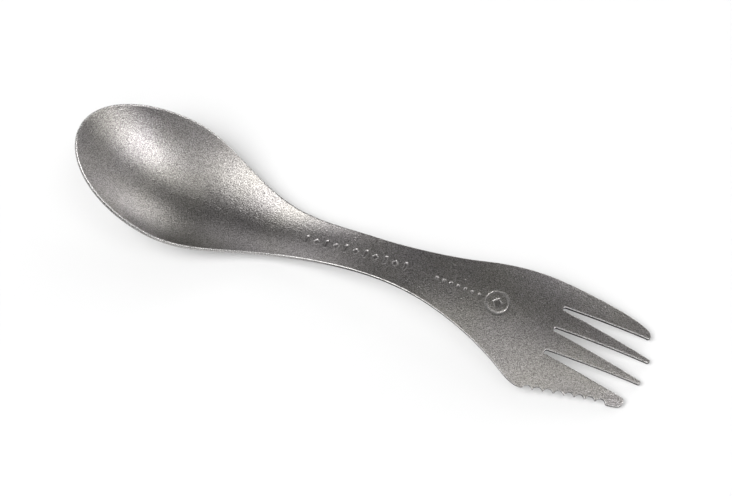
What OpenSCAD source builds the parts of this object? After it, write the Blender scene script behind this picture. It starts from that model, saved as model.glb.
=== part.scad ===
// Picnic cutlery: a spoon, a fork and a serrated edge pressed from one sheet of metal.
// +X runs from the bowl's tip to the tine tips, +Z is up, and the serrated edge is on the -Y side.
// The origin is under the middle of the piece, on the surface it lies on.

/* [Overall] */
// Length from the bowl's tip to the tine tips
length = 170; // [142:1:205]
// Thickness of the sheet
sheet_t = 1; // [0.8:0.1:1.4]

/* [Bowl] */
// Width across the bowl, at mid-sheet
bowl_w = 38; // [31:0.5:46]
// Distance from the bowl's tip to its widest line
bowl_lead = 28; // [23:0.5:34]
// Length over which the bowl narrows into the neck
shoulder_l = 26; // [20:0.5:32]
// Depth of the bowl below its rim, at the widest line
bowl_depth = 7.6; // [5:0.1:10]
// Height of the bowl's tip above the table
bowl_tip_h = 20.5; // [14:0.5:24]
// Slope of the sheet at the bowl's tip, in degrees
bowl_tip_slope = 45; // [30:1:55]
// Distance from the bowl's tip to the place where the bowl touches the table
bowl_touch_x = 42; // [34:1:50]
// Depth of the bowl below its rim where it touches the table
bowl_touch_depth = 5.2; // [3:0.1:7]

/* [Handle] */
// Distance from the bowl's tip to the neck
neck_x = 66; // [54:1:79]
// Height of the neck's centre line
neck_h = 2.6; // [1.5:0.1:5]
// Depth of the channel along the neck
neck_channel = 1.5; // [0.5:0.1:2.5]
// Narrowest width of the handle
waist_w = 11.8; // [9:0.1:14.5]
// Height of the sheet where the handle is narrowest
waist_h = 8; // [5:0.1:11]
// Height of the top of the handle's arch
crest_h = 9.7; // [7:0.1:13]

/* [Fork] */
// Reach of the plain side from the centre line
plain_reach = 15; // [13.5:0.1:18]
// Reach of the serrated side from the centre line, at the heel
heel_reach = 19; // [17:0.1:23]
// Distance from the tine tips back to the start of the flare
flare_back = 52; // [46:1:60]
// Distance from the tine tips back to the widest place of the plain side
plain_back = 30; // [26:0.5:36]
// Distance from the tine tips back to the heel of the serrated edge
heel_back = 29; // [27:0.5:34]
// Height of the sheet at the roots of the slots
root_h = 6.2; // [4:0.1:9]
// How far the sides of the fork fall below its centre line
fork_crown = 2; // [0.5:0.1:3.5]
// How far the sides of the tine tips fall below their centre line
tip_crown = 1; // [0.2:0.1:2]
// Length of the two middle tines, from the root of a slot
tine_l = 27; // [22:0.5:33]
// How much shorter the two outer tines are
outer_tine_back = 2.2; // [0.5:0.1:4]
// Spacing of the slots
slot_pitch = 7.05; // [6.8:0.05:8.5]
// Offset of the middle slot from the centre line
slot_shift = -0.35; // [-1:0.05:1]
// Width of a slot at its root
slot_root_w = 1.1; // [0.8:0.1:1.6]
// Width of a slot at the tine tips
slot_mouth_w = 5.8; // [4.8:0.1:6]
// Radius of the nose of the plain outer tine
plain_nose_r = 3; // [2.4:0.1:3.5]
// Radius of the nose of the serrated outer tine
knife_nose_r = 1.9; // [1.6:0.1:2.3]
// Radius of the inner corner of both outer tines
nose_corner_r = 0.5; // [0.2:0.1:0.8]

/* [Serrations] */
// Number of teeth
tooth_count = 8; // [4:1:9]
// Spacing of the teeth
tooth_pitch = 2.9; // [2.4:0.1:3.4]
// Radius of the gully between two teeth
gully_r = 1.35; // [0.9:0.05:1.45]
// Depth of a gully below the line of the tooth tips
gully_depth = 0.95; // [0.5:0.05:1.1]
// Angle between the line of tooth tips and the centre line
tooth_line_angle = 13.6; // [10:0.1:16]

/* [Mesh] */
// Facets along the front of the bowl
lead_steps = 16; // [8:1:24]
// Length of a facet behind the widest line of the bowl
facet_l = 2; // [1.5:0.5:5]
// Facets across the sheet
cross_steps = 20; // [10:2:28]

/* [Hidden] */
$fn = 32;

// How far the tip's lower corner reaches in front of mid-sheet
tip_in = sheet_t / 2 * sin(bowl_tip_slope);
// The sheet runs past the tine tips, and the punch trims it
overrun = 1;
punch_h = 4 * bowl_tip_h;

// Places along X, counted from the bowl's tip
flare_x = length - flare_back;
waist_x = neck_x + 0.42 * (flare_x - neck_x);
crest_x = neck_x + 0.77 * (flare_x - neck_x);
plain_x = length - plain_back;
heel_x = length - heel_back;
root_x = length - tine_l;
outer_tip_x = length - outer_tine_back;

// Places where the serrated edge starts to turn into the heel and where it ends
heel_turn_x = heel_x - 7;
heel_turn_reach = heel_reach - 1.6;
tooth_line_l = tooth_count * tooth_pitch;
tooth_slope = tan(tooth_line_angle);
lobe_x = heel_x + tooth_line_l * cos(tooth_line_angle);
lobe_reach = heel_reach - (lobe_x - heel_x) * tooth_slope;

// Half width that the middle slots leave to a middle tine at its tip
middle_nose_r = (slot_pitch - slot_mouth_w) / 2;
// Direction of the outer edge of an outer tine where its nose begins
nose_turn = 17;

// Centres of the noses of the two outer tines, as [x, distance from the centre line]
plain_edge_y = slot_shift + slot_pitch + slot_mouth_w / 2;
knife_edge_y = slot_pitch - slot_shift + slot_mouth_w / 2;
plain_nose = [outer_tip_x - plain_nose_r, plain_edge_y - 0.3];
knife_nose = [outer_tip_x - knife_nose_r, knife_edge_y + 1.1];

// ---- Curves ----

// Smooth curve through stations given as [x, value, slope], carried on straight past its ends
function between(a, b, x) =
    let (h = b[0] - a[0], u = (x - a[0]) / h)
    (2 * u^3 - 3 * u^2 + 1) * a[1] + (u^3 - 2 * u^2 + u) * h * a[2]
    + (3 * u^2 - 2 * u^3) * b[1] + (u^3 - u^2) * h * b[2];

function curve(stations, x, k = 0) =
    x <= stations[0][0] ? stations[0][1] + (x - stations[0][0]) * stations[0][2]
    : k == len(stations) - 1 ? stations[k][1] + (x - stations[k][0]) * stations[k][2]
    : x <= stations[k + 1][0] ? between(stations[k], stations[k + 1], x)
    : curve(stations, x, k + 1);

// A quarter ellipse in front of the bowl's widest line, and a bell curve behind it
function bowl_half(x) =
    x < bowl_lead
    ? bowl_w / 2 * sqrt(max(0, 1 - ((bowl_lead - x) / (bowl_lead - tip_in))^2))
    : (waist_w + (bowl_w - waist_w) * exp(-((x - bowl_lead) / shoulder_l)^2)) / 2;

// Stations of the widening of each side past the waist
spread_form = [[waist_x, 0, 0], [flare_x, 0.53 * (plain_reach - waist_w / 2), 0.36],
               [plain_x, plain_reach - waist_w / 2, 0]];
spread_plain = [spread_form[0], spread_form[1], spread_form[2],
                [plain_x + 15, plain_reach - 0.9 - waist_w / 2, -0.1],
                [plain_nose[0] + plain_nose_r * sin(nose_turn),
                 plain_nose[1] + plain_nose_r * cos(nose_turn) - waist_w / 2, -tan(nose_turn)]];
spread_knife = [[waist_x, 0, 0], [flare_x, 0.36 * (heel_reach - waist_w / 2), 0.32],
                [heel_turn_x, heel_turn_reach - waist_w / 2, 0.54],
                [heel_x, heel_reach - waist_w / 2, -tooth_slope],
                [lobe_x - tooth_pitch, lobe_reach + tooth_pitch * tooth_slope - waist_w / 2, -tooth_slope],
                [lobe_x, lobe_reach + 0.4 - waist_w / 2, -0.05],
                [knife_nose[0] + knife_nose_r * sin(nose_turn),
                 knife_nose[1] + knife_nose_r * cos(nose_turn) - waist_w / 2, -tan(nose_turn)]];

// Reach of the plain edge, of the serrated edge and of the pressed form from the centre line
function plain_half(x) = bowl_half(x) + curve(spread_plain, max(x, waist_x));
function knife_half(x) = bowl_half(x) + curve(spread_knife, max(x, waist_x));
function form_half(x) = bowl_half(x) + curve(spread_form, min(max(x, waist_x), plain_x));

// Side view of the centre line: the bowl, the arch of the handle, the fork bent down to the table
centre_line = [[tip_in, bowl_tip_h, -tan(bowl_tip_slope)], [bowl_touch_x, sheet_t / 2, 0],
               [neck_x, neck_h, 0.25], [waist_x, waist_h, 0.14], [crest_x, crest_h, 0],
               [root_x, root_h, -0.12], [length, 0.55 * sheet_t, -0.3]];
// Height of the edges over the centre line: a dish in the bowl, a crown on the fork
edge_rise = [[tip_in, 0, 0.55], [bowl_lead, bowl_depth, -0.02], [bowl_touch_x, bowl_touch_depth, -0.25],
             [neck_x, neck_channel, -0.09], [waist_x, 0.3, -0.03], [crest_x, -0.4, -0.05],
             [root_x, -fork_crown, -0.02], [length, -tip_crown, 0.02]];

// ---- Pressed sheet ----

rear_steps = ceil((length + overrun - bowl_lead) / facet_l);
rows = concat(
    [for (i = [0 : lead_steps - 1]) bowl_lead - (bowl_lead - tip_in) * cos(90 * i / lead_steps)],
    [for (i = [0 : rear_steps]) bowl_lead + (length + overrun - bowl_lead) * i / rear_steps]);
last_row = len(rows) - 1;

// Point of mid-sheet on a row, from the serrated edge (0) to the plain edge (cross_steps)
function mid_point(x, j) =
    let (v = j / cross_steps, y = -knife_half(x) * (1 - v) + plain_half(x) * v,
         across = x > tip_in ? y / form_half(x) : 0)
    [x, y, curve(centre_line, x) + curve(edge_rise, x) * across^2];

mid = [for (x = rows) [for (j = [0 : cross_steps]) mid_point(x, j)]];

function unit(v) = v / norm(v);
function normal_at(i, j) =
    i == 0 ? [sin(bowl_tip_slope), 0, cos(bowl_tip_slope)]
    : unit(cross(mid[min(i + 1, last_row)][j] - mid[i - 1][j],
                 mid[i][min(j + 1, cross_steps)] - mid[i][max(j - 1, 0)]));

// Faces of the top are listed first. Row 0 is a single point, the bowl's tip.
row_points = cross_steps + 1;
side_points = 1 + last_row * row_points;
function point_no(i, j) = i == 0 ? 0 : 1 + (i - 1) * row_points + j;

function side(sign) = concat(
    [mid[0][0] + sign * sheet_t / 2 * normal_at(0, 0)],
    [for (i = [1 : last_row]) for (j = [0 : cross_steps]) mid[i][j] + sign * sheet_t / 2 * normal_at(i, j)]);

// The rim goes round the sheet: out along the serrated edge, across the end, back along the plain edge
rim = concat([for (i = [0 : last_row]) point_no(i, 0)],
             [for (j = [1 : cross_steps]) point_no(last_row, j)],
             [for (i = [last_row - 1 : -1 : 1]) point_no(i, cross_steps)]);

module pressed_sheet() {
    tip_fan = [for (j = [0 : cross_steps - 1]) [0, point_no(1, j + 1), point_no(1, j)]];
    cells = [for (i = [1 : last_row - 1]) for (j = [0 : cross_steps - 1])
        each [[point_no(i, j), point_no(i, j + 1), point_no(i + 1, j + 1)],
              [point_no(i, j), point_no(i + 1, j + 1), point_no(i + 1, j)]]];
    top_faces = concat(tip_fan, cells);
    bottom_faces = [for (f = top_faces) [for (k = [2 : -1 : 0]) f[k] + side_points]];
    rim_faces = [for (k = [0 : len(rim) - 1]) let (a = rim[k], b = rim[(k + 1) % len(rim)])
        each [[a, b, b + side_points], [a, b + side_points, a + side_points]]];
    polyhedron(points = concat(side(1), side(-1)), faces = concat(top_faces, bottom_faces, rim_faces));
}

// ---- Punched openings ----

function arc(centre, r, from, to, steps = 8) =
    [for (i = [0 : steps]) let (a = from + (to - from) * i / steps) centre + r * [cos(a), sin(a)]];

// A slot: a round root that opens in straight lines to the tine tips
module slot() {
    root_r = slot_root_w / 2;
    mouth_x = tine_l + overrun + sheet_t;
    mouth_r = root_r + (slot_mouth_w / 2 - root_r) * mouth_x / tine_l;
    translate([root_r, 0]) circle(root_r);
    polygon([[root_r, -root_r], [mouth_x, -mouth_r], [mouth_x, mouth_r], [root_r, root_r]]);
}

// What the punch trims from the end of a middle tine
module middle_tine_end() {
    difference() {
        translate([0, -slot_pitch / 4]) square([middle_nose_r + overrun + sheet_t, slot_pitch / 2]);
        circle(middle_nose_r);
    }
}

// What the punch trims from the end of an outer tine, which lies on the side of +Y here
module outer_tine_end(nose, r, edge_y) {
    corner_y = edge_y + nose_corner_r;
    corner_x = nose[0] + sqrt((r - nose_corner_r)^2 - (corner_y - nose[1])^2);
    turn = atan2(corner_y - nose[1], corner_x - nose[0]);
    start = 90 - nose_turn;
    end_x = length + overrun + sheet_t;
    outline = concat(arc(nose, r, start, turn), arc([corner_x, corner_y], nose_corner_r, turn, -90),
                     [[end_x, edge_y - 1], [end_x, nose[1] + 2 * r], [nose[0] + r * sin(nose_turn), nose[1] + 2 * r]]);
    polygon(outline);
}

module gullies() {
    for (i = [0 : tooth_count - 1])
        translate([heel_x, -heel_reach])
        rotate(tooth_line_angle)
        translate([(i + 0.5) * tooth_pitch, gully_depth - gully_r])
        circle(gully_r);
}

module punch() {
    for (k = [-1 : 1]) translate([root_x, slot_shift + k * slot_pitch]) slot();
    for (k = [-0.5, 0.5]) translate([length - middle_nose_r, slot_shift + k * slot_pitch]) middle_tine_end();
    outer_tine_end(plain_nose, plain_nose_r, plain_edge_y);
    mirror([0, 1]) outer_tine_end(knife_nose, knife_nose_r, knife_edge_y);
    gullies();
}

module spork() {
    color("dimgray")
    translate([-length / 2, 0, 0])
    difference() {
        pressed_sheet();
        linear_extrude(height = punch_h, center = true) punch();
    }
}

spork();
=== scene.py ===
"""A one-piece picnic spork: the pressed titanium sheet in full detail, and a plain stage for it."""

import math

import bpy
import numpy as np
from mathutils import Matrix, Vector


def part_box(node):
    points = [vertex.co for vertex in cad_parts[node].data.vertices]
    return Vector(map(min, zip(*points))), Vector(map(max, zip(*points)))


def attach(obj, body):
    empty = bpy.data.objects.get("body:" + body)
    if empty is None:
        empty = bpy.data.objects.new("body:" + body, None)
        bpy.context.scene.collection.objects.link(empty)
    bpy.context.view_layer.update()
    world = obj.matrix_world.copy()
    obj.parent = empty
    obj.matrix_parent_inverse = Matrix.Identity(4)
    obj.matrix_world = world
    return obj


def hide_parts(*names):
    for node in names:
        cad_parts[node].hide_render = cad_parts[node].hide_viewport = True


bl_info = {
    "name": "Pressed Picnic Spork",
    "version": (1, 0, 0),
    "blender": (4, 5, 0),
    "location": "View3D > Sidebar > Spork",
    "description": "Builds a spork pressed from one titanium sheet around its packed model",
    "category": "Add Mesh",
}

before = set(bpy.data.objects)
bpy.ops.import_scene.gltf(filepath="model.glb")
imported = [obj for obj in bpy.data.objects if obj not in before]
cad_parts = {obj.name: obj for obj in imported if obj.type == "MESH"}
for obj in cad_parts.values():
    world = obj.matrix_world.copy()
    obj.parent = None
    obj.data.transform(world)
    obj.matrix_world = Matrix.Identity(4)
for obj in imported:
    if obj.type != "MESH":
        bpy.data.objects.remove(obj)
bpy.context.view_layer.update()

MM = 0.001
NODE = "spork"
BODY = "root"
BOX_LOW, BOX_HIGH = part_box(NODE)


# ---- Sizes and colours that a user would change ----

def size(name, description, millimetres):
    """A length property, with its default given in millimetres."""
    return bpy.props.FloatProperty(name=name, description=description, default=millimetres * MM,
                                   min=0.0, precision=5, unit="LENGTH")


def turn(name, description, degrees):
    """An angle property, with its default given in degrees."""
    return bpy.props.FloatProperty(name=name, description=description, default=math.radians(degrees),
                                   subtype="ANGLE", unit="ROTATION")


def tint(name, description, colour):
    """A colour property."""
    return bpy.props.FloatVectorProperty(name=name, description=description, default=colour,
                                         subtype="COLOR", size=3, min=0.0, max=1.0)


class SporkSheetSettings(bpy.types.PropertyGroup):
    """Sizes of the pressed sheet."""

    length: bpy.props.FloatProperty(
        name="Length", description="From the bowl's tip to the tine tips",
        default=BOX_HIGH.x - BOX_LOW.x, precision=5, unit="LENGTH")
    sheet_t: size("Sheet thickness", "Thickness of the sheet", 1.0)
    edge_round: size("Edge rounding", "Radius that tumbling leaves on the cut edges", 0.28)
    tooth_round: size("Tooth rounding", "Radius that tumbling leaves on the edges of the teeth", 0.2)

    bowl_w: size("Bowl width", "Width across the bowl, at mid-sheet", 38)
    bowl_lead: size("Bowl lead", "From the bowl's tip to its widest line", 28)
    shoulder_l: size("Shoulder", "Length over which the bowl narrows into the neck", 26)
    bowl_depth: size("Bowl depth", "Depth below the rim at the widest line", 7.6)
    bowl_tip_h: size("Tip height", "Height of the bowl's tip above the table", 20.5)
    bowl_tip_slope: turn("Tip slope", "Slope of the sheet at the bowl's tip", 45)
    bowl_touch_x: size("Touch place", "From the bowl's tip to where the bowl touches the table", 42)
    bowl_touch_depth: size("Touch depth", "Depth below the rim where the bowl touches the table", 5.2)

    neck_x: size("Neck place", "From the bowl's tip to the neck", 66)
    neck_h: size("Neck height", "Height of the neck's centre line", 2.6)
    neck_channel: size("Neck channel", "Depth of the channel along the neck", 1.5)
    waist_w: size("Waist width", "Narrowest width of the handle", 11.8)
    waist_h: size("Waist height", "Height of the sheet at the waist", 8)
    crest_h: size("Crest height", "Height of the top of the handle's arch", 9.7)

    plain_reach: size("Plain reach", "Reach of the plain side from the centre line", 15)
    heel_reach: size("Heel reach", "Reach of the serrated side from the centre line", 19)
    flare_back: size("Flare place", "From the tine tips back to the start of the flare", 52)
    plain_back: size("Plain place", "From the tine tips back to the widest place of the plain side", 30)
    heel_back: size("Heel place", "From the tine tips back to the heel", 29)
    root_h: size("Root height", "Height of the sheet at the roots of the slots", 6.2)
    fork_crown: size("Fork crown", "How far the fork's sides fall below its centre line", 2)
    tip_crown: size("Tip crown", "How far the outer tine tips fall below the centre line", 1)
    tine_l: size("Tine length", "From the root of a slot to the tips", 27)
    outer_tine_back: size("Outer tines", "How much shorter the outer tines are", 2.2)
    slot_pitch: size("Slot spacing", "Spacing of the slots", 7.05)
    slot_shift: bpy.props.FloatProperty(
        name="Slot shift", description="Offset of the middle slot from the centre line",
        default=-0.35 * MM, precision=5, unit="LENGTH")
    slot_root_w: size("Slot root", "Width of a slot at its root", 1.1)
    slot_mouth_w: size("Slot mouth", "Width of a slot at the tine tips", 5.8)
    plain_nose_r: size("Plain nose", "Radius of the nose of the plain outer tine", 3)
    knife_nose_r: size("Serrated nose", "Radius of the nose of the serrated outer tine", 1.9)
    nose_corner_r: size("Nose corner", "Radius of the inner corner of both outer tines", 0.8)

    tooth_count: bpy.props.IntProperty(name="Teeth", description="Number of teeth", default=8, min=1, max=9)
    tooth_pitch: size("Tooth spacing", "Spacing of the teeth", 2.9)
    gully_r: size("Gully radius", "Radius of the gully between two teeth", 1.35)
    gully_depth: size("Gully depth", "Depth of a gully below the line of the tooth tips", 0.95)
    tooth_line_angle: turn("Tooth line", "Angle between the tooth line and the centre line", 13.6)


class SporkMarkSettings(bpy.types.PropertyGroup):
    """Sizes of the plain ornament struck into the handle."""

    depth: size("Depth", "Depth of the struck ornament", 0.15)
    edge: size("Edge", "Width over which a struck edge falls", 0.16)
    band_start: size("Band start", "From the bowl's tip to the first bar of the band", 69)
    band_pitch: size("Band spacing", "Spacing of the bars and diamonds of the band", 2.95)
    band_count: bpy.props.IntProperty(name="Band count", description="Bars and diamonds in the band",
                                      default=11, min=1)
    bar_h: size("Bar height", "Height of a bar", 2.5)
    bar_w: size("Bar width", "Width of a bar", 0.8)
    diamond_w: size("Diamond", "Half the diagonal of a diamond", 0.95)
    dots_start: size("Dots start", "From the bowl's tip to the first dot", 108)
    dots_pitch: size("Dot spacing", "Spacing of the row of dots", 2.1)
    dots_count: bpy.props.IntProperty(name="Dots", description="Dots in the row", default=7, min=1)
    dot_r: size("Dot radius", "Radius of a dot", 0.4)
    ring_x: size("Ring place", "From the bowl's tip to the middle of the ring", 126)
    ring_r: size("Ring radius", "Radius of the ring", 3.2)
    ring_w: size("Ring line", "Width of the ring's line", 0.45)


class SporkFinishSettings(bpy.types.PropertyGroup):
    """Colours and finish of the metal."""

    metal: tint("Metal", "Colour of the tumbled titanium", (0.235, 0.218, 0.222))
    warm: tint("Warm metal", "Colour of the metal where its oxide is warmer", (0.235, 0.223, 0.195))
    # The worn colour is partly real wear and partly painted highlight, along the rounded cut edges, across
    # the bowl's rim and round the struck ornament
    worn: tint("Worn edge", "Colour of the metal where the edges are rubbed bright", (0.55, 0.54, 0.53))
    roughness: bpy.props.FloatProperty(name="Roughness", description="Roughness of the tumbled face",
                                       default=0.31, min=0.0, max=1.0, subtype="FACTOR")
    grain: size("Grain", "Size of the grain left by tumbling", 0.4)
    grain_depth: size("Grain depth", "Depth of the grain", 0.14)


class SporkStageSettings(bpy.types.PropertyGroup):
    """Floor, lights and camera."""

    floor: tint("Floor", "Colour of the floor", (0.68, 0.68, 0.68))
    surround: tint("Surround", "Light that comes from all round", (0.12, 0.12, 0.12))
    azimuth: turn("Camera azimuth", "Camera's turn round the object", 23)
    elevation: turn("Camera elevation", "Camera's height above the horizon", 62)
    distance: bpy.props.FloatProperty(name="Camera distance", description="From the camera to the object",
                                      default=1.0, unit="LENGTH")
    lens: bpy.props.FloatProperty(name="Lens", description="Focal length in millimetres", default=176.9)


# ---- Form of the sheet ----

def curve(stations, x):
    """Smooth curve through stations of (x, value, slope), carried on straight past its ends."""
    s = np.array(stations, float)
    x = np.asarray(x, float)
    k = np.clip(np.searchsorted(s[:, 0], x) - 1, 0, len(s) - 2)
    a, b = s[k], s[k + 1]
    h = b[..., 0] - a[..., 0]
    u = (x - a[..., 0]) / h
    inside = ((2 * u**3 - 3 * u**2 + 1) * a[..., 1] + (u**3 - 2 * u**2 + u) * h * a[..., 2]
              + (3 * u**2 - 2 * u**3) * b[..., 1] + (u**3 - u**2) * h * b[..., 2])
    before = s[0, 1] + (x - s[0, 0]) * s[0, 2]
    after = s[-1, 1] + (x - s[-1, 0]) * s[-1, 2]
    return np.where(x < s[0, 0], before, np.where(x > s[-1, 0], after, inside))


def ramp(x, start, end):
    """Rises smoothly from 0 at start to 1 at end."""
    t = np.clip((x - start) / (end - start), 0, 1)
    return t * t * (3 - 2 * t)


def arc(centre, radius, start, end, steps=48):
    """Points along an arc, with its angles in degrees."""
    angles = np.radians(np.linspace(start, end, steps + 1))
    return np.array(centre) + radius * np.stack([np.cos(angles), np.sin(angles)], -1)


def resample(points, shares):
    """Points at the given shares of a polyline's length."""
    steps = np.hypot(*np.diff(points, axis=0).T)
    along = np.concatenate([[0], np.cumsum(steps)])
    at = np.asarray(shares) * along[-1]
    return np.stack([np.interp(at, along, points[:, k]) for k in (0, 1)], -1)


class Form:
    """The sheet's outline in plan and its pressed heights. x counts from the bowl's tip."""

    # Degrees by which an outer tine's edge has turned in where its nose starts
    NOSE_TURN = 17
    # How far inside its slot's edge the plain nose is centred, and how far outside it the serrated one
    PLAIN_NOSE_IN = 0.3 * MM
    KNIFE_NOSE_OUT = 1.1 * MM
    # Length over which the surface's slope is taken
    SLOPE_STEP = 0.02 * MM

    def __init__(self, s):
        self.s = s
        self.tip_in = s.sheet_t / 2 * math.sin(s.bowl_tip_slope)
        self.flare_x = s.length - s.flare_back
        self.waist_x = s.neck_x + 0.42 * (self.flare_x - s.neck_x)
        self.crest_x = s.neck_x + 0.77 * (self.flare_x - s.neck_x)
        self.plain_x = s.length - s.plain_back
        self.heel_x = s.length - s.heel_back
        self.root_x = s.length - s.tine_l
        self.outer_tip_x = s.length - s.outer_tine_back
        self.tooth_slope = math.tan(s.tooth_line_angle)
        self.lobe_x = self.heel_x + s.tooth_count * s.tooth_pitch * math.cos(s.tooth_line_angle)
        self.lobe_reach = s.heel_reach - (self.lobe_x - self.heel_x) * self.tooth_slope
        self.plain_edge_y = s.slot_shift + s.slot_pitch + s.slot_mouth_w / 2
        self.knife_edge_y = s.slot_pitch - s.slot_shift + s.slot_mouth_w / 2
        self.plain_nose = (self.outer_tip_x - s.plain_nose_r, self.plain_edge_y - self.PLAIN_NOSE_IN)
        self.knife_nose = (self.outer_tip_x - s.knife_nose_r, self.knife_edge_y + self.KNIFE_NOSE_OUT)
        self.set_stations()

    def set_stations(self):
        """Stations of the two edges and of the side view, as (x, value, slope)."""
        s = self.s
        half = s.waist_w / 2
        spread = [(self.waist_x, 0, 0), (self.flare_x, 0.53 * (s.plain_reach - half), 0.36),
                  (self.plain_x, s.plain_reach - half, 0)]
        self.spread_form = spread
        self.spread_plain = spread + [
            (self.plain_x + 15 * MM, s.plain_reach - 0.9 * MM - half, -0.1),
            self.nose_start(self.plain_nose, s.plain_nose_r)]
        self.spread_knife = [
            (self.waist_x, 0, 0), (self.flare_x, 0.36 * (s.heel_reach - half), 0.32),
            (self.heel_x - 7 * MM, s.heel_reach - 1.6 * MM - half, 0.54),
            (self.heel_x, s.heel_reach - half, -self.tooth_slope),
            (self.lobe_x - s.tooth_pitch, self.lobe_reach + s.tooth_pitch * self.tooth_slope - half,
             -self.tooth_slope),
            (self.lobe_x, self.lobe_reach + 0.4 * MM - half, -0.05),
            self.nose_start(self.knife_nose, s.knife_nose_r)]
        self.centre_line = [
            (self.tip_in, s.bowl_tip_h, -math.tan(s.bowl_tip_slope)), (s.bowl_touch_x, s.sheet_t / 2, 0),
            (s.neck_x, s.neck_h, 0.25), (self.waist_x, s.waist_h, 0.14), (self.crest_x, s.crest_h, 0),
            (self.root_x, s.root_h, -0.12), (s.length, 0.55 * s.sheet_t, -0.3)]
        self.edge_rise = [
            (self.tip_in, 0, 0.55), (s.bowl_lead, s.bowl_depth, -0.02),
            (s.bowl_touch_x, s.bowl_touch_depth, -0.25), (s.neck_x, s.neck_channel, -0.09),
            (self.waist_x, 0.3 * MM, -0.03), (self.crest_x, -0.4 * MM, -0.05),
            (self.root_x, -s.fork_crown, -0.02), (s.length, -s.tip_crown, 0.02)]

    def nose_start(self, nose, radius):
        """Station where an outer tine's edge meets its nose."""
        angle = math.radians(self.NOSE_TURN)
        return (nose[0] + radius * math.sin(angle),
                nose[1] + radius * math.cos(angle) - self.s.waist_w / 2, -math.tan(angle))

    def bowl_half(self, x):
        """Half width of the bowl and the neck: a quarter ellipse, then a bell curve."""
        s = self.s
        x = np.asarray(x, float)
        front = np.clip((s.bowl_lead - x) / (s.bowl_lead - self.tip_in), 0, 1)
        ellipse = s.bowl_w / 2 * np.sqrt(1 - front**2)
        bell = np.exp(-((x - s.bowl_lead) / s.shoulder_l) ** 2)
        return np.where(x < s.bowl_lead, ellipse, (s.waist_w + (s.bowl_w - s.waist_w) * bell) / 2)

    def plain_half(self, x):
        """Reach of the plain edge from the centre line."""
        return self.bowl_half(x) + curve(self.spread_plain, np.maximum(x, self.waist_x))

    def knife_half(self, x):
        """Reach of the serrated side's edge from the centre line, before its teeth are cut."""
        return self.bowl_half(x) + curve(self.spread_knife, np.maximum(x, self.waist_x))

    def form_half(self, x):
        """Half width of the pressed form, where the sheet has risen by its edge height."""
        return self.bowl_half(x) + curve(self.spread_form, np.clip(x, self.waist_x, self.plain_x))

    def height(self, x, y):
        """Height of mid-sheet over the table."""
        across = y / np.maximum(self.form_half(x), 1e-9)
        return curve(self.centre_line, x) + curve(self.edge_rise, x) * np.minimum(across**2, 4)

    def surface(self, plan):
        """Points of mid-sheet and their unit normals, from points in plan."""
        x, y = plan[:, 0], plan[:, 1]
        step = self.SLOPE_STEP
        slope_x = (self.height(x + step, y) - self.height(x - step, y)) / (2 * step)
        slope_y = (self.height(x, y + step) - self.height(x, y - step)) / (2 * step)
        normals = np.stack([-slope_x, -slope_y, np.ones_like(x)], -1)
        normals /= np.linalg.norm(normals, axis=1)[:, None]
        return np.stack([x, y, self.height(x, y)], -1), normals

    def edge_round(self, plan):
        """Radius of the cut edge's rounding, which is smaller along the teeth."""
        x, y = plan[:, 0], plan[:, 1]
        toothed = ramp(x, self.heel_x - 2 * MM, self.heel_x)
        toothed *= ramp(x, self.lobe_x + 2 * MM, self.lobe_x)
        toothed *= ramp(y, -self.knife_edge_y - 0.5 * MM, -self.knife_edge_y - 1.5 * MM)
        return self.s.edge_round + (self.s.tooth_round - self.s.edge_round) * toothed


# ---- Outline ----

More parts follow.
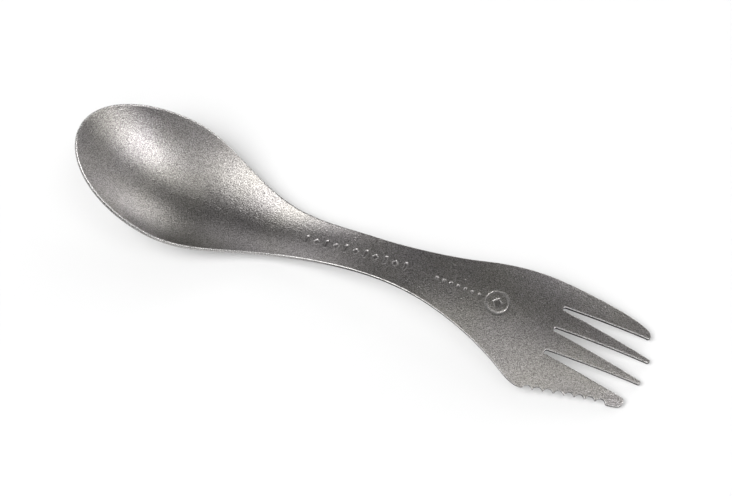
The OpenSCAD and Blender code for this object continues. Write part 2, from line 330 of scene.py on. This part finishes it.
class Outline:
    """The sheet's closed outline, cut into runs that the mesh's patches share."""

    # Columns of points across each tine, from the serrated tine to the plain one
    TINE_COLUMNS = (20, 14, 14, 16)
    # Half the angle of the bowl's front that its tip's arc covers, in degrees
    TIP_ANGLE = 45
    TIP_ROWS = 44
    # Spacing of the rows along the bowl, and along the handle, which carries the ornament
    BOWL_STEP = 0.6 * MM
    HANDLE_STEP = 0.2 * MM
    # Length and count of the evenly spaced rows in front of the slots' roots
    ROOT_LEAD = 11 * MM
    ROOT_ROWS = 30
    # The rows slant back by the first length on the serrated side, over the second, to meet the heel
    HEEL_PULL = 3.4 * MM
    HEEL_PULL_OVER = 24 * MM
    # Rows along the serrated tine, and along the others, where they crowd towards the root
    TOOTHED_ROWS = 331
    TINE_ROWS = 91
    TINE_CROWDING = 1.6
    # Width over which the points of the teeth are worn, and the spacing that the wear is worked out at
    WORN_WIDTH = 0.14 * MM
    WORN_STEP = 0.02 * MM

    def __init__(self, form):
        self.form = form
        self.runs = {}
        self.lay_sides()
        self.lay_tines()
        self.inset()

    def lay_sides(self):
        """Both edges from the bowl's front to the roots of the slots, with the tip's arc between them."""
        form, s = self.form, self.form.s
        reach = s.bowl_lead - form.tip_in
        front = s.bowl_lead - reach * np.cos(np.radians(np.linspace(self.TIP_ANGLE, 90, self.TIP_ROWS)))
        lead_x = form.root_x - self.ROOT_LEAD
        x = np.concatenate([front[:-1], np.arange(s.bowl_lead, s.neck_x, self.BOWL_STEP),
                            np.arange(s.neck_x, lead_x, self.HANDLE_STEP),
                            np.linspace(lead_x, form.root_x, self.ROOT_ROWS)])
        knife_x = x - self.HEEL_PULL * ramp(x, form.root_x - self.HEEL_PULL_OVER, form.root_x)
        angle = np.radians(np.linspace(self.TIP_ANGLE, -self.TIP_ANGLE, sum(self.TINE_COLUMNS) + 1))
        tip_x = s.bowl_lead - reach * np.cos(angle)
        self.runs["knife_side"] = np.stack([knife_x, -form.knife_half(knife_x)], -1)
        self.runs["plain_side"] = np.stack([x, form.plain_half(x)], -1)[::-1]
        self.runs["bowl_tip"] = np.stack([tip_x, s.bowl_w / 2 * np.sin(angle)], -1)

    def slot_side(self, slot, sign, end_x):
        """One side of a slot, from the middle of its round root to end_x."""
        form, s = self.form, self.form.s
        y = s.slot_shift + slot * s.slot_pitch
        r = s.slot_root_w / 2
        root = arc((form.root_x + r, 0), r, 180, 90, 24)
        half_end = r + (s.slot_mouth_w / 2 - r) * (end_x - form.root_x) / s.tine_l
        side = np.concatenate([root, [[end_x, half_end]]])
        side[:, 1] = y + sign * side[:, 1]
        return side

    def toothed_edge(self, start_x, end_x):
        """The serrated edge, with its gullies cut into the blank's edge and its points worn round."""
        form, s = self.form, self.form.s
        along = np.array([math.cos(s.tooth_line_angle), math.sin(s.tooth_line_angle)])
        inward = np.array([-along[1], along[0]])
        runs, x = [], start_x
        for i in range(s.tooth_count):
            centre = (np.array([form.heel_x, -s.heel_reach]) + along * (i + 0.5) * s.tooth_pitch
                      + inward * (s.gully_depth - s.gully_r))
            ring = arc(centre, s.gully_r, 200, 0, 200)
            ring = ring[-ring[:, 1] < form.knife_half(ring[:, 0])]
            blank_x = np.linspace(x, ring[0, 0], 20)
            runs += [np.stack([blank_x, -form.knife_half(blank_x)], -1), ring]
            x = ring[-1, 0]
        blank_x = np.linspace(x, end_x, 60)
        runs.append(np.stack([blank_x, -form.knife_half(blank_x)], -1))
        return self.worn(np.concatenate(runs))

    def worn(self, points):
        """A polyline with its corners rounded by a bell-shaped average."""
        step, width = self.WORN_STEP, self.WORN_WIDTH
        length = np.hypot(*np.diff(points, axis=0).T).sum()
        fine = resample(points, np.linspace(0, 1, int(length / step) + 1))
        reach = int(3 * width / step)
        weights = np.exp(-0.5 * (np.arange(-reach, reach + 1) * step / width) ** 2)
        weights /= weights.sum()
        before = 2 * fine[0] - fine[reach:0:-1]
        after = 2 * fine[-1] - fine[-2:-reach - 2:-1]
        padded = np.concatenate([before, fine, after])
        return np.stack([np.convolve(padded[:, k], weights, "valid") for k in (0, 1)], -1)

    def outer_nose(self, nose, radius, edge_y):
        """Nose of an outer tine, from its outer edge to the slot, with +Y outward."""
        corner_r = self.form.s.nose_corner_r
        corner_y = edge_y + corner_r
        corner_x = nose[0] + math.sqrt((radius - corner_r) ** 2 - (corner_y - nose[1]) ** 2)
        turned = math.degrees(math.atan2(corner_y - nose[1], corner_x - nose[0]))
        big = arc(nose, radius, 90 - self.form.NOSE_TURN, turned)
        return np.concatenate([big, arc((corner_x, corner_y), corner_r, turned, -90)[1:]])

    def slot_edge_y(self, x):
        """Half width of a slot at x."""
        s = self.form.s
        return s.slot_root_w / 2 + (s.slot_mouth_w - s.slot_root_w) / 2 * (x - self.form.root_x) / s.tine_l

    def lay_tines(self):
        """The runs round the four tines, in order from the serrated tine to the plain one."""
        form, s = self.form, self.form.s
        columns = self.TINE_COLUMNS
        even = np.linspace(0, 1, self.TOOTHED_ROWS)
        eased = np.linspace(0, 1, self.TINE_ROWS) ** self.TINE_CROWDING

        knife_end_x, _, _ = form.nose_start(form.knife_nose, s.knife_nose_r)
        knife_edge = self.toothed_edge(self.runs["knife_side"][-1, 0], knife_end_x)
        knife_nose = self.outer_nose(form.knife_nose, s.knife_nose_r,
                                     self.nose_slot_edge(form.knife_nose, -1))
        knife_nose[:, 1] *= -1
        self.runs["tine0_west"] = resample(knife_edge, even)
        self.runs["tine0_nose"] = resample(knife_nose, np.linspace(0, 1, columns[0] + 1))
        self.runs["tine0_east"] = resample(self.slot_side(-1, -1, knife_nose[-1, 0]), even)

        for tine in (1, 2):
            nose_y = s.slot_shift + (tine - 1.5) * s.slot_pitch
            nose_x = s.length - (s.slot_pitch - s.slot_mouth_w) / 2
            nose_r = s.slot_pitch / 2 - self.slot_edge_y(nose_x)
            end_x = s.length - nose_r
            self.runs[f"tine{tine}_west"] = resample(self.slot_side(tine - 2, 1, end_x), eased)
            self.runs[f"tine{tine}_nose"] = arc((end_x, nose_y), nose_r, -90, 90, columns[tine])
            self.runs[f"tine{tine}_east"] = resample(self.slot_side(tine - 1, -1, end_x), eased)

        plain_nose = self.outer_nose(form.plain_nose, s.plain_nose_r,
                                     self.nose_slot_edge(form.plain_nose, 1))[::-1]
        self.runs["tine3_west"] = resample(self.slot_side(1, 1, plain_nose[0, 0]), eased)
        self.runs["tine3_nose"] = resample(plain_nose, np.linspace(0, 1, columns[3] + 1))
        x = np.linspace(form.root_x, plain_nose[-1, 0], 200)
        self.runs["tine3_east"] = resample(np.stack([x, form.plain_half(x)], -1), eased)

    def nose_slot_edge(self, nose, side):
        """Distance from the centre line to the slot's edge beside an outer tine's nose."""
        s = self.form.s
        return s.slot_pitch + side * s.slot_shift + self.slot_edge_y(nose[0] + s.nose_corner_r)

    def inset(self):
        """Moves the outline in by the edge's rounding, which the rim adds again."""
        order = [("knife_side", 1)]
        for tine in range(4):
            order += [(f"tine{tine}_west", 1), (f"tine{tine}_nose", 1), (f"tine{tine}_east", -1)]
        order += [("plain_side", 1), ("bowl_tip", 1)]
        loop = np.concatenate([self.runs[name][::way][:-1] for name, way in order])
        moved = loop - self.outward(loop)[:, :2] * self.form.edge_round(loop)[:, None]
        at = 0
        for name, way in order:
            count = len(self.runs[name])
            picked = moved[(np.arange(at, at + count)) % len(loop)]
            self.runs[name] = picked[::way]
            at += count - 1

    def outward(self, loop):
        """Unit vectors in the sheet that point out of a closed loop of points in plan."""
        points, normals = self.form.surface(loop)
        along = np.roll(points, -1, 0) - np.roll(points, 1, 0)
        out = np.cross(along, normals)
        return out / np.linalg.norm(out, axis=1)[:, None]


# ---- Mesh of the sheet ----

def patch(south, north, west, east, shares, reach):
    """Grid of points between four runs. Rows are straight except within reach of a curved end."""
    rows = len(west)
    shares = np.asarray(shares)
    if shares.ndim == 1:
        shares = np.repeat(shares[None], rows, 0)
    grid = west[:, None] * (1 - shares[..., None]) + east[:, None] * shares[..., None]
    middle = (west + east) / 2
    along = np.concatenate([[0], np.cumsum(np.hypot(*np.diff(middle, axis=0).T))])
    near_south = ramp(along, reach[0], 0)[:, None, None]
    near_north = ramp(along[-1] - along, reach[1], 0)[:, None, None]
    return grid + near_south * (south - grid[0])[None] + near_north * (north - grid[-1])[None]


class SheetMesh:
    """Builds the sheet: a top and a bottom on the pressed form, and a rounded rim between them."""

    # Steps round each of the rim's two rounded edges
    RIM_STEPS = 4
    # The bowl's rim carries a painted highlight across its whole wall, in place of the sheared walls'
    # painted shade, as far along as this, and it fades out over the next length
    BRIGHT_RIM_TO = 60 * MM
    BRIGHT_RIM_FADE = 30 * MM
    # Share of the worn colour in the bowl rim's painted highlight
    BRIGHT_RIM_SHARE = 0.9
    # Share of the width, along the middle, that has the closer columns
    ORNAMENT_SHARE = 0.42
    # Points that are closer than this are one point
    WELD = 1e-5 * MM
    # How far into the body and into a tine the rows bend to follow their curved ends
    BODY_BEND = (30 * MM, 24 * MM)
    TINE_BEND = (8 * MM, 4 * MM)

    def __init__(self, sizes, marks):
        self.form = Form(sizes)
        self.outline = Outline(self.form)
        self.marks = marks
        self.plan = np.zeros((0, 2))
        self.faces = np.zeros((0, 4), int)

    def root_row(self):
        """Points across the sheet at the roots of the slots, from the heel to the plain side."""
        runs = self.outline.runs
        corners = [runs["knife_side"][-1], runs["tine0_east"][0], runs["tine1_east"][0],
                   runs["tine2_east"][0], runs["plain_side"][0]]
        row = [np.linspace(a, b, n + 1)[:-1]
               for a, b, n in zip(corners, corners[1:], self.outline.TINE_COLUMNS)]
        return np.concatenate([*row, [corners[-1]]])

    def body_shares(self):
        """Shares across the handle, closer together along the middle, which carries the ornament."""
        c = self.outline.TINE_COLUMNS
        low, high = 0.5 - self.ORNAMENT_SHARE / 2, 0.5 + self.ORNAMENT_SHARE / 2
        return np.concatenate([np.linspace(0, low, c[0] + 1)[:-1],
                               np.linspace(low, high, c[1] + c[2] + 1)[:-1],
                               np.linspace(high, 1, c[3] + 1)])

    def add_grid(self, grid):
        """Adds a patch's points and its four-sided faces."""
        rows, columns = grid.shape[:2]
        index = np.arange(rows * columns).reshape(rows, columns) + len(self.plan)
        faces = np.stack([index[:-1, :-1], index[1:, :-1], index[1:, 1:], index[:-1, 1:]], -1)
        self.plan = np.concatenate([self.plan, grid.reshape(-1, 2)])
        self.faces = np.concatenate([self.faces, faces.reshape(-1, 4)])

    def lay_patches(self):
        """The body and four tines as grids in plan, joined where they share points."""
        runs = self.outline.runs
        root = self.root_row()
        self.add_grid(patch(runs["bowl_tip"][::-1], root, runs["knife_side"], runs["plain_side"][::-1],
                            self.body_shares(), self.BODY_BEND))
        first = 0
        for tine, columns in enumerate(self.outline.TINE_COLUMNS):
            shares = np.linspace(0, 1, columns + 1)
            self.add_grid(patch(root[first:first + columns + 1], runs[f"tine{tine}_nose"],
                                runs[f"tine{tine}_west"], runs[f"tine{tine}_east"],
                                shares, self.TINE_BEND))
            first += columns
        keys = np.round(self.plan / self.WELD).astype(np.int64)
        _, kept, index = np.unique(keys, axis=0, return_index=True, return_inverse=True)
        self.plan = self.plan[kept]
        self.faces = index.reshape(-1)[self.faces]

    def rim_loop(self):
        """Points of the outline in order, with the sheet on their left."""
        edges = np.concatenate([self.faces[:, [k, (k + 1) % 4]] for k in range(4)])
        there = set(map(tuple, edges))
        after = {a: b for a, b in there if (b, a) not in there and a != b}
        loop = [next(iter(sorted(after)))]
        while after[loop[-1]] != loop[0]:
            loop.append(after[loop[-1]])
        if len(loop) != len(after):
            raise RuntimeError("the sheet's outline is not one closed loop")
        return np.array(loop)

    def rim_turns(self):
        """Angles round the rim from the top to the bottom, each with its side of mid-sheet."""
        quarter = np.radians(np.linspace(0, 90, self.RIM_STEPS + 1))
        return [(angle, 1) for angle in quarter[1:]] + [(angle, -1) for angle in quarter[:0:-1]]

    def build(self, name):
        """Makes the mesh object."""
        self.lay_patches()
        half = self.form.s.sheet_t / 2
        points, normals = self.form.surface(self.plan)
        struck = self.marks.depth_at(self.plan)
        top = points + normals * (half - struck[:, None])
        bottom = points - normals * half
        count = len(points)

        loop = self.rim_loop()
        outward = self.outline.outward(self.plan[loop])
        radius = self.form.edge_round(self.plan[loop])[:, None]
        rings = [loop]
        extra = []
        turns = self.rim_turns()
        for angle, side in turns:
            rise = side * (half - radius + radius * math.cos(angle))
            ring = points[loop] + normals[loop] * rise + outward * radius * math.sin(angle)
            rings.append(2 * count + sum(len(e) for e in extra) + np.arange(len(loop)))
            extra.append(ring)
        rings.append(loop + count)

        faces = [self.faces, self.faces[:, ::-1] + count]
        for upper, lower in zip(rings, rings[1:]):
            faces.append(np.stack([np.roll(upper, -1), upper, lower, np.roll(lower, -1)], -1))
        vertices = np.concatenate([top, bottom, *extra])
        vertices[:, 0] += BOX_LOW.x
        marks = self.point_marks(struck, loop, turns)
        return self.mesh_object(name, vertices, np.concatenate(faces), marks)

    def point_marks(self, struck, loop, turns):
        """Marks at each point, of the top, of the bottom, then of the rim: edge wear with painted
        highlight, sheared walls with painted shade, and striking.
        """
        turned = np.repeat([angle for angle, _ in turns], len(loop))
        past = self.plan[loop, 0] - self.BRIGHT_RIM_TO
        bright_rim = np.tile(np.clip(1 - past / self.BRIGHT_RIM_FADE, 0, 1), len(turns))
        # A bright line where the rounded edge turns, partly real wear and partly painted highlight; the
        # bowl's rim gets a painted highlight across its whole wall
        wear_and_highlight = np.maximum(np.sin(2 * turned), self.BRIGHT_RIM_SHARE * bright_rim)
        # The cut walls are darkened, partly for their sheared finish and partly as painted shade
        cut = np.maximum(-np.cos(2 * turned), 0) * (1 - bright_rim)
        flat = np.zeros_like(struck)
        return {"wear_and_highlight": np.concatenate([flat, flat, wear_and_highlight]),
                "cut": np.concatenate([flat, flat, cut]),
                "struck": np.concatenate([struck / self.marks.m.depth, flat, 0 * turned])}

    @staticmethod
    def mesh_object(name, vertices, faces, marks):
        """A smooth-shaded object, with the marks of making and use, and the masks of painted highlight and
        shade, stored on its points.
        """
        mesh = bpy.data.meshes.new(name)
        rows = [list(dict.fromkeys(face)) for face in faces.tolist()]
        mesh.from_pydata(vertices.tolist(), [], [row for row in rows if len(row) > 2])
        mesh.shade_smooth()
        for key, values in marks.items():
            mesh.attributes.new(key, "FLOAT", "POINT").data.foreach_set("value", values)
        if mesh.validate():
            raise RuntimeError(f"{name} has faulty faces")
        made = bpy.data.objects.new(name, mesh)
        bpy.context.scene.collection.objects.link(made)
        return made


class Marks:
    """The plain ornament struck into the top: a band of bars and diamonds, dots and a ring."""

    # Half the diagonal of the ring's diamond, as a share of the ring's radius
    RING_DIAMOND = 0.45

    def __init__(self, m):
        self.m = m

    def shapes(self, x, y):
        """Distances to the edge of each struck shape, below zero inside it."""
        m = self.m
        for i in range(m.band_count):
            u = x - m.band_start - i * m.band_pitch
            if i % 2:
                yield (np.abs(u) + np.abs(y) - m.diamond_w) / math.sqrt(2)
            else:
                yield np.hypot(u, np.maximum(np.abs(y) - (m.bar_h - m.bar_w) / 2, 0)) - m.bar_w / 2
        for i in range(m.dots_count):
            yield np.hypot(x - m.dots_start - i * m.dots_pitch, y) - m.dot_r
        radius = np.hypot(x - m.ring_x, y)
        yield np.abs(radius - m.ring_r) - m.ring_w / 2
        yield np.abs(x - m.ring_x) + np.abs(y) - m.ring_r * self.RING_DIAMOND

    def depth_at(self, plan):
        """Depth of the ornament under the top face."""
        x, y = plan[:, 0], plan[:, 1]
        nearest = np.full(len(plan), 1.0)
        for distance in self.shapes(x, y):
            nearest = np.minimum(nearest, distance)
        return self.m.depth * ramp(nearest, self.m.edge / 2, -self.m.edge / 2)


# ---- Finish ----

class Value:
    """A shader socket whose arithmetic adds Math nodes."""

    def __init__(self, shader, socket):
        self.shader = shader
        self.socket = socket

    def maths(self, operation, a, b):
        return self.shader.node("ShaderNodeMath", {"operation": operation}, {0: a, 1: b})

    def __add__(self, other):
        return self.maths("ADD", self, other)

    def __radd__(self, other):
        return self.maths("ADD", other, self)

    def __sub__(self, other):
        return self.maths("SUBTRACT", self, other)

    def __rsub__(self, other):
        return self.maths("SUBTRACT", other, self)

    def __mul__(self, other):
        return self.maths("MULTIPLY", self, other)

    def __rmul__(self, other):
        return self.maths("MULTIPLY", other, self)


class Shader:
    """A material and the nodes that make its finish."""

    # A Mix node's sockets for colours
    MIX_A, MIX_B, MIX_RESULT = 6, 7, 2

    def __init__(self, name):
        self.material = bpy.data.materials.new(name)
        self.material.use_nodes = True
        self.tree = self.material.node_tree
        self.principled = self.tree.nodes["Principled BSDF"]
        self.place = self.node("ShaderNodeTexCoord", {}, {}, "Object")

    def node(self, kind, settings, sockets, output=0):
        """Any node: its settings are set first, then its sockets get values or links."""
        made = self.tree.nodes.new(kind)
        for key, value in settings.items():
            setattr(made, key, value)
        for key, value in sockets.items():
            self.feed(made.inputs[key], value)
        return Value(self, made.outputs[output])

    def feed(self, socket, value):
        """Links a Value to a socket, or sets the socket to a plain value."""
        if isinstance(value, Value):
            self.tree.links.new(value.socket, socket)
        else:
            socket.default_value = value

    def noise(self, grain, detail=2.0, roughness=0.5):
        """Smooth noise whose features are about grain metres across, around one half."""
        return self.node("ShaderNodeTexNoise", {}, {
            "Vector": self.place, "Scale": 1 / grain, "Detail": detail, "Roughness": roughness})

    def mark(self, name):
        """A mark stored on the mesh's points."""
        return self.node("ShaderNodeAttribute", {"attribute_name": name}, {}, "Fac")

    def scuffs(self, grain):
        """Short faint scratches that lie roughly along the handle."""
        place = self.node("ShaderNodeMapping", {}, {
            "Vector": self.place, "Rotation": (0, 0, math.radians(25)), "Scale": (0.12, 1.6, 1.0)})
        streaks = self.node("ShaderNodeTexNoise", {}, {
            "Vector": place, "Scale": 1 / grain, "Detail": 1.0})
        return self.spread(streaks, 0.68, 0.76) * self.spread(self.noise(6 * MM), 0.5, 0.6)

    def spread(self, value, low, high):
        """Stretches a value so that low becomes 0 and high becomes 1."""
        return self.node("ShaderNodeMapRange", {}, {
            "Value": value, "From Min": low, "From Max": high})

    def blend(self, share, first, second):
        """Mixes two colours."""
        return self.node("ShaderNodeMix", {"data_type": "RGBA"}, {
            "Factor": share, self.MIX_A: first, self.MIX_B: second}, self.MIX_RESULT)


def opaque(colour):
    """A colour with its alpha."""
    return (*colour, 1.0)


def titanium(finish):
    """Tumbled titanium: a fine sparkling grain, faint clouds and scuffs, edges rubbed bright with painted
    highlight, and painted shade on the sheared walls and in the struck ornament.
    """
    shader = Shader("titanium_tumbled")
    worn = opaque(finish.worn)

    def darker(share):
        """The metal's colour, darkened to a share of itself."""
        return opaque([share * c for c in finish.metal])

    tinted = shader.spread(shader.noise(22 * MM, 2.0), 0.35, 0.65)
    clouds = shader.spread(shader.noise(9 * MM, 4.0, 0.6), 0.3, 0.7)
    grain = shader.noise(finish.grain, 2.0, 0.6)
    fine = shader.noise(finish.grain * 0.7, 1.0, 0.7)
    sparkle = shader.spread(fine, 0.38, 0.62)
    pits = shader.spread(shader.noise(finish.grain * 1.8, 1.0), 0.69, 0.74)
    glints = shader.spread(shader.noise(finish.grain * 1.3, 1.0), 0.25, 0.2)
    scuffs = shader.scuffs(finish.grain)
    wear_and_highlight = shader.mark("wear_and_highlight")
    cut = shader.mark("cut")
    struck = shader.mark("struck")
    # Rubbed edges: partly real wear, partly painted highlight along the rounded edges and across the bowl's
    # rim
    rubbed = shader.spread(wear_and_highlight + (grain - 0.5) * 1.2, 0.2, 1.0)

    face = shader.blend(tinted, opaque(finish.metal), opaque(finish.warm))
    cloudy = shader.blend(clouds * 0.3, face, darker(0.6))
    flecked = shader.blend((1 - sparkle) * 0.62, cloudy, darker(0.35))
    bright = shader.blend(sparkle * 0.34, flecked, worn)
    # Painted shade darkens the struck ornament's hollows, besides the real pits
    pitted_and_shaded = shader.blend(pits * 0.5 + struck * 0.45, bright, darker(0.3))
    # The cut walls are darkened: partly their rougher sheared finish, partly painted shade
    sheared_and_shaded = shader.blend(cut * 0.92, pitted_and_shaded, darker(0.12))
    # Painted highlight along the rubbed edges and round the edges of the struck ornament
    edge_wear_and_highlights = rubbed * 0.8 + struck * (1 - struck) * 1.3
    colour = shader.blend(edge_wear_and_highlights + glints * 0.5 + scuffs * 0.25, sheared_and_shaded, worn)
    roughness = finish.roughness + (grain - 0.5) * 0.2 + cut * 0.15 - rubbed * 0.05
    bump = shader.node("ShaderNodeBump", {}, {
        "Strength": 1.0, "Distance": finish.grain_depth,
        "Height": grain * 0.6 + fine * 0.25 + pits * 0.1 - scuffs * 0.1})
    shader.principled.inputs["Metallic"].default_value = 1.0
    shader.feed(shader.principled.inputs["Base Color"], colour)
    shader.feed(shader.principled.inputs["Roughness"], roughness)
    shader.feed(shader.principled.inputs["Normal"], bump)
    return shader.material


# ---- Operators ----

class SPORK_OT_build_sheet(bpy.types.Operator):
    """Build the pressed titanium sheet in full detail"""

    bl_idname = "spork.build_sheet"
    bl_label = "Pressed Sheet"

    def execute(self, context):
        scene = context.scene
        sheet = SheetMesh(scene.spork_sheet, Marks(scene.spork_marks)).build("spork_sheet")
        sheet.data.materials.append(titanium(scene.spork_finish))
        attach(sheet, BODY)
        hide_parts(NODE)
        return {"FINISHED"}


class SPORK_OT_build_stage(bpy.types.Operator):
    """Build the floor, the soft lights and the camera"""

    bl_idname = "spork.build_stage"
    bl_label = "Stage"

    FLOOR_HALF = 3.0
    # The point that the camera and the lights face
    MIDDLE = (0.35 * MM, 3.4 * MM, 5 * MM)
    LIGHT_DISTANCE = 2.5
    # Each light's direction from the object, size and power
    LIGHTS = (("key", (-0.53, -0.38, 0.76), 1.8, 60.0),
              ("right", (0.70, -0.01, 0.71), 0.8, 33.0),
              ("overhead", (0.25, 0.05, 0.96), 1.2, 8.0),
              ("fill", (0.13, -0.46, 0.88), 1.2, 8.0),
              ("back_right", (0.51, 0.80, 0.32), 2.0, 12.0),
              ("back", (0.22, 0.94, 0.25), 0.5, 8.0),
              ("back_left", (-0.54, 0.77, 0.34), 1.8, 12.0),
              ("front", (0.35, -0.86, 0.36), 1.2, 5.0))
    # Lights that throw no shadow on the floor
    SHADOWLESS = ("right",)

    def execute(self, context):
        stage = context.scene.spork_stage
        middle = Vector(self.MIDDLE)
        self.add_floor(stage)
        for light in self.LIGHTS:
            self.add_light(middle, *light)
        self.add_camera(stage, middle)
        self.set_surround(context.scene, stage)
        return {"FINISHED"}

    def add_floor(self, stage):
        """A plain pale floor at the height of the table."""
        half, z = self.FLOOR_HALF, BOX_LOW.z
        mesh = bpy.data.meshes.new("floor")
        mesh.from_pydata([(-half, -half, z), (half, -half, z), (half, half, z), (-half, half, z)],
                         [], [(0, 1, 2, 3)])
        floor = bpy.data.objects.new("floor", mesh)
        bpy.context.scene.collection.objects.link(floor)
        paint = Shader("floor_paint")
        paint.principled.inputs["Base Color"].default_value = opaque(stage.floor)
        paint.principled.inputs["Roughness"].default_value = 0.9
        paint.principled.inputs["Specular IOR Level"].default_value = 0.0
        mesh.materials.append(paint.material)

    def add_light(self, middle, name, direction, width, power):
        """A square soft light that faces the object."""
        data = bpy.data.lights.new(name, "AREA")
        data.size = width
        data.energy = power
        data.use_shadow = name not in self.SHADOWLESS
        light = bpy.data.objects.new(name, data)
        towards = Vector(direction).normalized()
        light.location = middle + towards * self.LIGHT_DISTANCE
        light.rotation_mode = "QUATERNION"
        light.rotation_quaternion = towards.to_track_quat("Z", "Y")
        bpy.context.scene.collection.objects.link(light)

    @staticmethod
    def add_camera(stage, middle):
        """The camera, which looks down at the middle of the object."""
        data = bpy.data.cameras.new("camera")
        data.lens = stage.lens
        data.sensor_width = 36.0
        camera = bpy.data.objects.new("camera", data)
        a, e = stage.azimuth, stage.elevation
        back = Vector((math.sin(a) * math.cos(e), -math.cos(a) * math.cos(e), math.sin(e)))
        camera.location = middle + back * stage.distance
        camera.rotation_mode = "QUATERNION"
        camera.rotation_quaternion = back.to_track_quat("Z", "Y")
        bpy.context.scene.collection.objects.link(camera)
        bpy.context.scene.camera = camera

    @staticmethod
    def set_surround(scene, stage):
        """An even pale surround, and colours shown as they are."""
        world = bpy.data.worlds.new("surround")
        world.use_nodes = True
        world.node_tree.nodes["Background"].inputs["Color"].default_value = opaque(stage.surround)
        scene.world = world
        scene.view_settings.view_transform = "Standard"


class SPORK_PT_panel(bpy.types.Panel):
    """Buttons that build the spork and its stage"""

    bl_idname = "SPORK_PT_panel"
    bl_label = "Pressed Spork"
    bl_space_type = "VIEW_3D"
    bl_region_type = "UI"
    bl_category = "Spork"

    def draw(self, context):
        for operator in OPERATORS:
            self.layout.operator(operator.bl_idname)


OPERATORS = (SPORK_OT_build_sheet, SPORK_OT_build_stage)
SETTINGS = {"spork_sheet": SporkSheetSettings, "spork_marks": SporkMarkSettings,
            "spork_finish": SporkFinishSettings, "spork_stage": SporkStageSettings}
CLASSES = (*SETTINGS.values(), *OPERATORS, SPORK_PT_panel)


def register():
    for cls in CLASSES:
        bpy.utils.register_class(cls)
    for name, cls in SETTINGS.items():
        setattr(bpy.types.Scene, name, bpy.props.PointerProperty(type=cls))


def unregister():
    for name in SETTINGS:
        delattr(bpy.types.Scene, name)
    for cls in reversed(CLASSES):
        bpy.utils.unregister_class(cls)


def main():
    register()
    bpy.ops.spork.build_sheet()
    bpy.ops.spork.build_stage()


if __name__ == "__main__":
    main()
